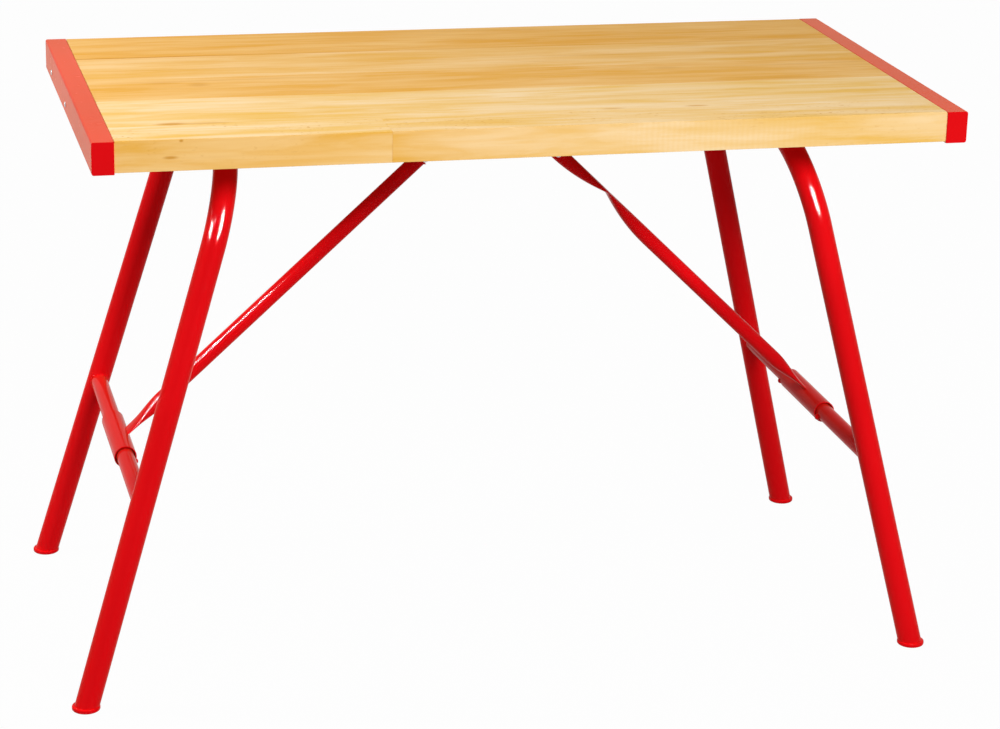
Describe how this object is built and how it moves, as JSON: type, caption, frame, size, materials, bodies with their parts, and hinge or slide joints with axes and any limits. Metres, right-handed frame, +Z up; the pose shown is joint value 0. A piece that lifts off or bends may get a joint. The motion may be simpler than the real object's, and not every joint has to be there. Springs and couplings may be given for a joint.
{
  "type": "folding workbench",
  "caption": "Folding workbench with a glued board top, steel end channels and two red tube leg frames that fold under it.",
  "frame": {"origin": "on the floor, midway between the outermost points at the two ends and on the mid-depth plane", "axes": "+Z up, +X along the top towards the end with the crimped brace, front edge towards -Y"},
  "size_m": [1.2418, 0.6206, 0.802],
  "materials": {
    "red_paint": "gloss enamel",
    "wood": "sanded and oiled",
    "zinc": "bright plated"
  },
  "bodies": {
    "worktop": {"board_front_left": "wood", "board_front_right": "wood", "board_second": "wood", "board_third": "wood", "board_fourth": "wood", "board_back": "wood", "end_channel_left": "red_paint", "end_channel_right": "red_paint", "pivot_strap_left_front": "zinc", "pivot_strap_left_back": "zinc", "pivot_strap_right_front": "zinc", "pivot_strap_right_back": "zinc", "hook_bracket_left": "red_paint", "hook_bracket_right": "red_paint", "channel_screw_left_1": "zinc", "channel_screw_left_2": "zinc", "channel_screw_right_1": "zinc", "channel_screw_right_2": "zinc", "strap_screw_left_front_1": "zinc", "strap_screw_left_front_2": "zinc", "strap_screw_left_back_1": "zinc", "strap_screw_left_back_2": "zinc", "strap_screw_right_front_1": "zinc", "strap_screw_right_front_2": "zinc", "strap_screw_right_back_1": "zinc", "strap_screw_right_back_2": "zinc", "bracket_screw_left_1": "zinc", "bracket_screw_left_2": "zinc", "bracket_screw_right_1": "zinc", "bracket_screw_right_2": "zinc"},
    "left_leg_frame": {"leg_tube_left": "red_paint", "crossbar_left": "red_paint", "foot_left_front": "red_paint", "foot_left_back": "red_paint"},
    "right_leg_frame": {"leg_tube_right": "red_paint", "crossbar_right": "red_paint", "foot_right_front": "red_paint", "foot_right_back": "red_paint"},
    "left_brace": {"brace_left": "red_paint", "brace_sleeve_left": "red_paint", "hook_pin_left": "zinc"},
    "right_brace": {"brace_right": "red_paint", "brace_sleeve_right": "red_paint", "hook_pin_right": "zinc"}
  },
  "joints": [
    {"name": "left_leg_fold", "type": "hinge", "parent": "worktop", "child": "left_leg_frame", "pos_m": [-0.38272, 0, 0.74275], "axis": [0, -1, 0], "range_deg": [0, 105.9]},
    {"name": "left_brace_swing", "type": "hinge", "parent": "left_leg_frame", "child": "left_brace", "pos_m": [-0.51758, 0, 0.28453], "axis": [0, 1, 0], "range_deg": [0, 325.5]},
    {"name": "right_leg_fold", "type": "hinge", "parent": "worktop", "child": "right_leg_frame", "pos_m": [0.40738, 0, 0.74275], "axis": [0, 1, 0], "range_deg": [0, 94.5]},
    {"name": "right_brace_swing", "type": "hinge", "parent": "right_leg_frame", "child": "right_brace", "pos_m": [0.52529, 0, 0.28844], "axis": [0, -1, 0], "range_deg": [0, 325.53]}
  ],
  "couplings": [
    {"joint": "left_brace_swing", "follows": "left_leg_fold", "ratio": 3.0736},
    {"joint": "right_brace_swing", "follows": "right_leg_fold", "ratio": 3.4447}
  ]
}
